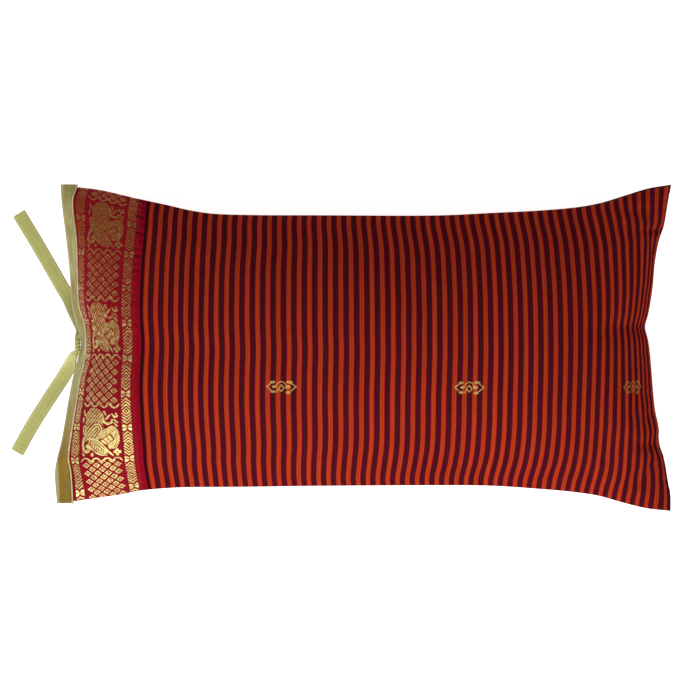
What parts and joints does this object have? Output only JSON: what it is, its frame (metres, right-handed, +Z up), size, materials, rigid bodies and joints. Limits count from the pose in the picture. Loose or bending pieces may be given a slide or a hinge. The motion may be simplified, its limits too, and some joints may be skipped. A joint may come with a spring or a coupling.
{
  "type": "lumbar pillow",
  "caption": "Filled lumbar pillow in striped sari cloth with a woven gold border, its open end faced in plain cloth and closed by ribbons tied in a half knot.",
  "frame": {"origin": "on the surface that the pillow lies on, under the middle of its filled part", "axes": "+X along the pillow from the tied open end to the sewn end, +Y across it, +Z up, out of the patterned front"},
  "size_m": [0.6286, 0.3075, 0.1205],
  "materials": {
    "sari_cloth": "woven silk in orange and maroon stripes, with a crimson and gold border",
    "facing_cloth": "olive gold silk, plain weave",
    "piping_cloth": "pale green thin piping",
    "ribbon": "lime green satin ribbon"
  },
  "bodies": {
    "root": {"pillow_body": "sari_cloth", "facing_front": "facing_cloth", "facing_back": "facing_cloth", "piping": "piping_cloth", "tie_upper": "ribbon", "tie_lower": "ribbon"}
  },
  "joints": []
}
